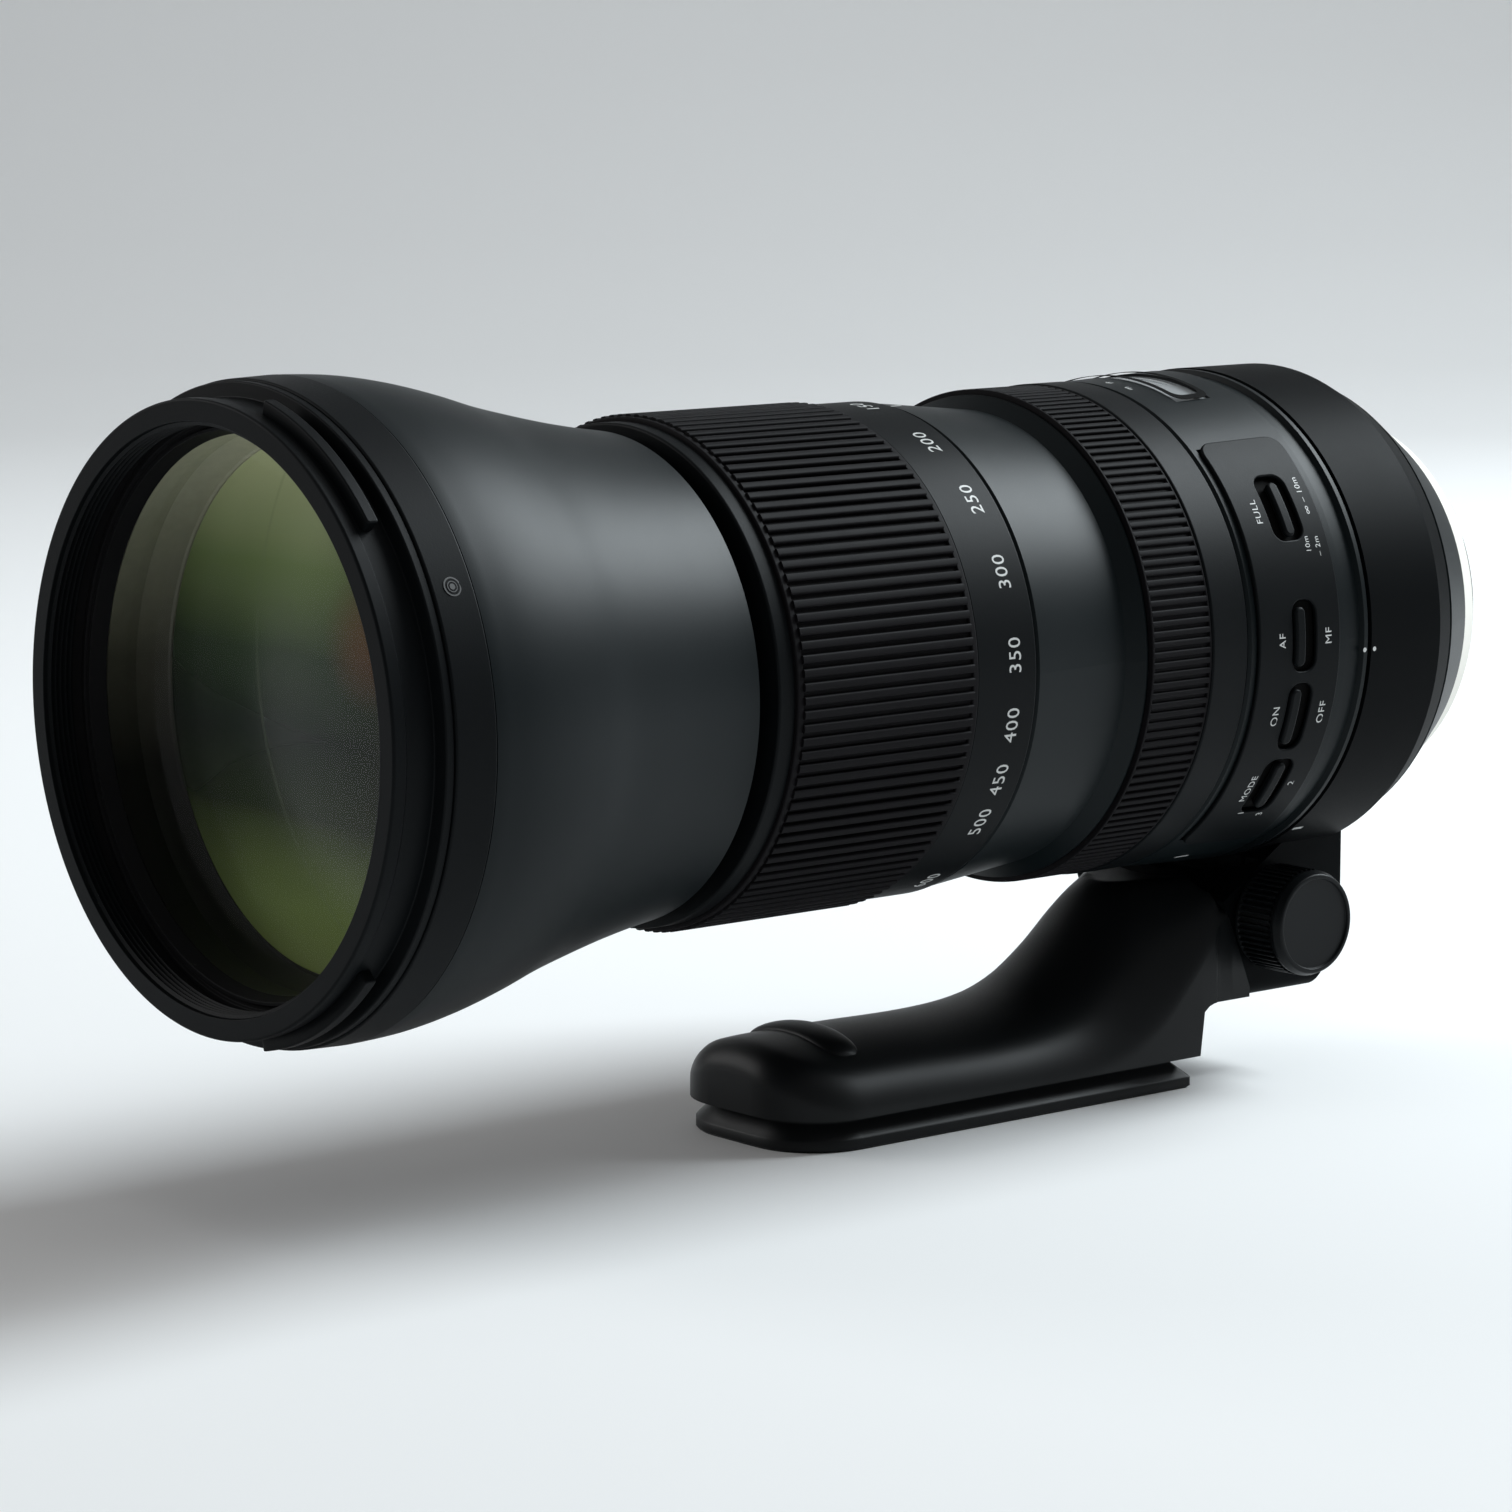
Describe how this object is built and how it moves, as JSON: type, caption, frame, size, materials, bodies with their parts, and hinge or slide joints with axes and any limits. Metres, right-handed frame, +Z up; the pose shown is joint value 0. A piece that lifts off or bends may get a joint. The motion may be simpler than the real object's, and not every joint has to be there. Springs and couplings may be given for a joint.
{
  "type": "camera zoom lens",
  "caption": "Long telephoto zoom lens with a flared front, ribbed zoom and focus rings, slide switches and a rotating tripod collar with a foot.",
  "frame": {"origin": "centre of the camera flange, on the optical axis", "axes": "Y is the optical axis with the front of the lens towards -Y; +Z is up; +X is the lens's left side, which carries the switch panel"},
  "size_m": [0.1084, 0.2658, 0.1384],
  "materials": {
    "satin_black": "satin",
    "matt_black": "matt",
    "grip_rubber": "matt",
    "inner_black": "matt",
    "anodised": "satin",
    "coated_glass": "polished",
    "window": "polished",
    "brass": "satin",
    "steel": "satin",
    "chrome": "polished",
    "ivory": "satin",
    "board": "gloss",
    "blade_black": "matt",
    "scale_white": "matt"
  },
  "bodies": {
    "lens_body": {"switch_barrel": "satin_black", "switch_panel": "satin_black", "distance_window": "window", "main_barrel": "satin_black", "guide_barrel": "anodised", "focus_guide_tube": "anodised", "motor_stator": "steel", "stabiliser_housing": "inner_black", "diaphragm_plate": "anodised", "rear_cell": "anodised", "rear_lenses": "coated_glass", "rear_barrel": "satin_black", "circuit_board": "board", "skirt_ring": "ivory", "bayonet_mount": "chrome", "mount_screws": "steel", "contact_block": "matt_black", "contact_pads": "brass"},
    "front_barrel": {"filter_ring": "matt_black", "hood_band": "satin_black", "flared_barrel": "satin_black", "front_cell": "anodised", "front_lens": "coated_glass", "front_retainer": "matt_black", "cemented_doublet": "coated_glass", "extension_tube": "inner_black", "front_cam_rollers": "brass"},
    "zoom_ring": {"zoom_cam_sleeve": "anodised"},
    "zoom_grip": {"zoom_grip_sleeve": "matt_black", "zoom_rubber": "grip_rubber"},
    "zoom_group": {"zoom_group_cell": "inner_black", "zoom_group_lenses": "coated_glass"},
    "focus_ring": {"focus_ring": "matt_black", "focus_rubber": "grip_rubber"},
    "motor_rotor": {"motor_rotor": "steel"},
    "focus_drive": {"focus_drive_ring": "inner_black", "focus_cam_tube": "anodised", "distance_scale": "scale_white"},
    "focus_group": {"focus_cell": "inner_black", "focus_lens": "coated_glass"},
    "limiter_switch": {"limiter_switch": "matt_black"},
    "focus_mode_switch": {"focus_mode_switch": "matt_black"},
    "stabiliser_switch": {"stabiliser_switch": "matt_black"},
    "stabiliser_mode_switch": {"stabiliser_mode_switch": "matt_black"},
    "zoom_lock_switch": {"zoom_lock_switch": "matt_black"},
    "stabiliser_guide": {"stabiliser_guide": "inner_black"},
    "stabiliser_cell": {"stabiliser_cell": "inner_black", "stabiliser_lens": "coated_glass"},
    "diaphragm_ring": {"diaphragm_drive_ring": "inner_black"},
    "collar": {"collar_ring": "satin_black", "tripod_foot": "satin_black", "foot_screws": "steel"},
    "lock_knob": {"lock_knob": "satin_black"},
    "blade_1": {"diaphragm_blade_1": "blade_black"},
    "blade_2": {"diaphragm_blade_2": "blade_black"},
    "blade_3": {"diaphragm_blade_3": "blade_black"},
    "blade_4": {"diaphragm_blade_4": "blade_black"},
    "blade_5": {"diaphragm_blade_5": "blade_black"},
    "blade_6": {"diaphragm_blade_6": "blade_black"},
    "blade_7": {"diaphragm_blade_7": "blade_black"}
  },
  "joints": [
    {"name": "zoom_turn", "type": "hinge", "parent": "lens_body", "child": "zoom_ring", "pos_m": [0, -0.134, 0], "axis": [0, -1, 0], "range_deg": [0, 145]},
    {"name": "zoom_extend", "type": "slide", "parent": "lens_body", "child": "front_barrel", "axis": [0, -1, 0], "range_m": [0, 0.075]},
    {"name": "zoom_group_slide", "type": "slide", "parent": "lens_body", "child": "zoom_group", "axis": [0, -1, 0], "range_m": [0, 0.04]},
    {"name": "zoom_grip_lock", "type": "slide", "parent": "zoom_ring", "child": "zoom_grip", "axis": [0, -1, 0], "range_m": [0, 0.0025]},
    {"name": "focus_turn", "type": "hinge", "parent": "lens_body", "child": "focus_ring", "pos_m": [0, -0.081, 0], "axis": [0, -1, 0], "range_deg": [0, 150]},
    {"name": "rotor_turn", "type": "hinge", "parent": "lens_body", "child": "motor_rotor", "pos_m": [0, -0.063, 0], "axis": [0, -1, 0], "continuous": true},
    {"name": "focus_drive_turn", "type": "hinge", "parent": "lens_body", "child": "focus_drive", "pos_m": [0, -0.058, 0], "axis": [0, -1, 0], "range_deg": [0, 75]},
    {"name": "focus_group_slide", "type": "slide", "parent": "lens_body", "child": "focus_group", "axis": [0, 1, 0], "range_m": [0, 0.012]},
    {"name": "limiter_switch_slide", "type": "slide", "parent": "lens_body", "child": "limiter_switch", "axis": [0, 1, 0], "range_m": [-0.002, 0.002]},
    {"name": "focus_mode_switch_slide", "type": "slide", "parent": "lens_body", "child": "focus_mode_switch", "axis": [0, 1, 0], "range_m": [0, 0.0026]},
    {"name": "stabiliser_switch_slide", "type": "slide", "parent": "lens_body", "child": "stabiliser_switch", "axis": [0, 1, 0], "range_m": [0, 0.0026]},
    {"name": "stabiliser_mode_switch_slide", "type": "slide", "parent": "lens_body", "child": "stabiliser_mode_switch", "axis": [0, 1, 0], "range_m": [-0.002, 0.002]},
    {"name": "zoom_lock_slide", "type": "slide", "parent": "lens_body", "child": "zoom_lock_switch", "axis": [0, 1, 0], "range_m": [0, 0.003]},
    {"name": "stabiliser_sideways", "type": "slide", "parent": "lens_body", "child": "stabiliser_guide", "axis": [1, 0, 0], "range_m": [-0.0012, 0.0012]},
    {"name": "stabiliser_upwards", "type": "slide", "parent": "stabiliser_guide", "child": "stabiliser_cell", "axis": [0, 0, 1], "range_m": [-0.0012, 0.0012]},
    {"name": "diaphragm_turn", "type": "hinge", "parent": "lens_body", "child": "diaphragm_ring", "pos_m": [0, -0.036, 0], "axis": [0, 1, 0], "range_deg": [0, 20]},
    {"name": "collar_turn", "type": "hinge", "parent": "lens_body", "child": "collar", "pos_m": [0, -0.0298, 0], "axis": [0, -1, 0], "continuous": true},
    {"name": "lock_knob_turn", "type": "hinge", "parent": "collar", "child": "lock_knob", "pos_m": [0.0255, -0.0397, -0.0542], "axis": [1, 0, 0], "range_deg": [0, 360]},
    {"name": "blade_1_swing", "type": "hinge", "parent": "lens_body", "child": "blade_1", "pos_m": [0.024, -0.0395, 0], "axis": [0, -1, 0], "range_deg": [0, 26]},
    {"name": "blade_2_swing", "type": "hinge", "parent": "lens_body", "child": "blade_2", "pos_m": [0.01496, -0.0395, 0.01876], "axis": [0, -1, 0], "range_deg": [0, 26]},
    {"name": "blade_3_swing", "type": "hinge", "parent": "lens_body", "child": "blade_3", "pos_m": [-0.00534, -0.0395, 0.0234], "axis": [0, -1, 0], "range_deg": [0, 26]},
    {"name": "blade_4_swing", "type": "hinge", "parent": "lens_body", "child": "blade_4", "pos_m": [-0.02162, -0.0395, 0.01041], "axis": [0, -1, 0], "range_deg": [0, 26]},
    {"name": "blade_5_swing", "type": "hinge", "parent": "lens_body", "child": "blade_5", "pos_m": [-0.02162, -0.0395, -0.01041], "axis": [0, -1, 0], "range_deg": [0, 26]},
    {"name": "blade_6_swing", "type": "hinge", "parent": "lens_body", "child": "blade_6", "pos_m": [-0.00534, -0.0395, -0.0234], "axis": [0, -1, 0], "range_deg": [0, 26]},
    {"name": "blade_7_swing", "type": "hinge", "parent": "lens_body", "child": "blade_7", "pos_m": [0.01496, -0.0395, -0.01876], "axis": [0, -1, 0], "range_deg": [0, 26]}
  ],
  "couplings": [
    {"joint": "zoom_extend", "follows": "zoom_turn", "m_per_rad": 0.029636},
    {"joint": "zoom_group_slide", "follows": "zoom_turn", "m_per_rad": 0.015806},
    {"joint": "focus_drive_turn", "follows": "focus_turn", "ratio": 0.5},
    {"joint": "focus_group_slide", "follows": "focus_turn", "m_per_rad": 0.0045837},
    {"joint": "blade_1_swing", "follows": "diaphragm_turn", "ratio": 1.3},
    {"joint": "blade_2_swing", "follows": "diaphragm_turn", "ratio": 1.3},
    {"joint": "blade_3_swing", "follows": "diaphragm_turn", "ratio": 1.3},
    {"joint": "blade_4_swing", "follows": "diaphragm_turn", "ratio": 1.3},
    {"joint": "blade_5_swing", "follows": "diaphragm_turn", "ratio": 1.3},
    {"joint": "blade_6_swing", "follows": "diaphragm_turn", "ratio": 1.3},
    {"joint": "blade_7_swing", "follows": "diaphragm_turn", "ratio": 1.3}
  ]
}
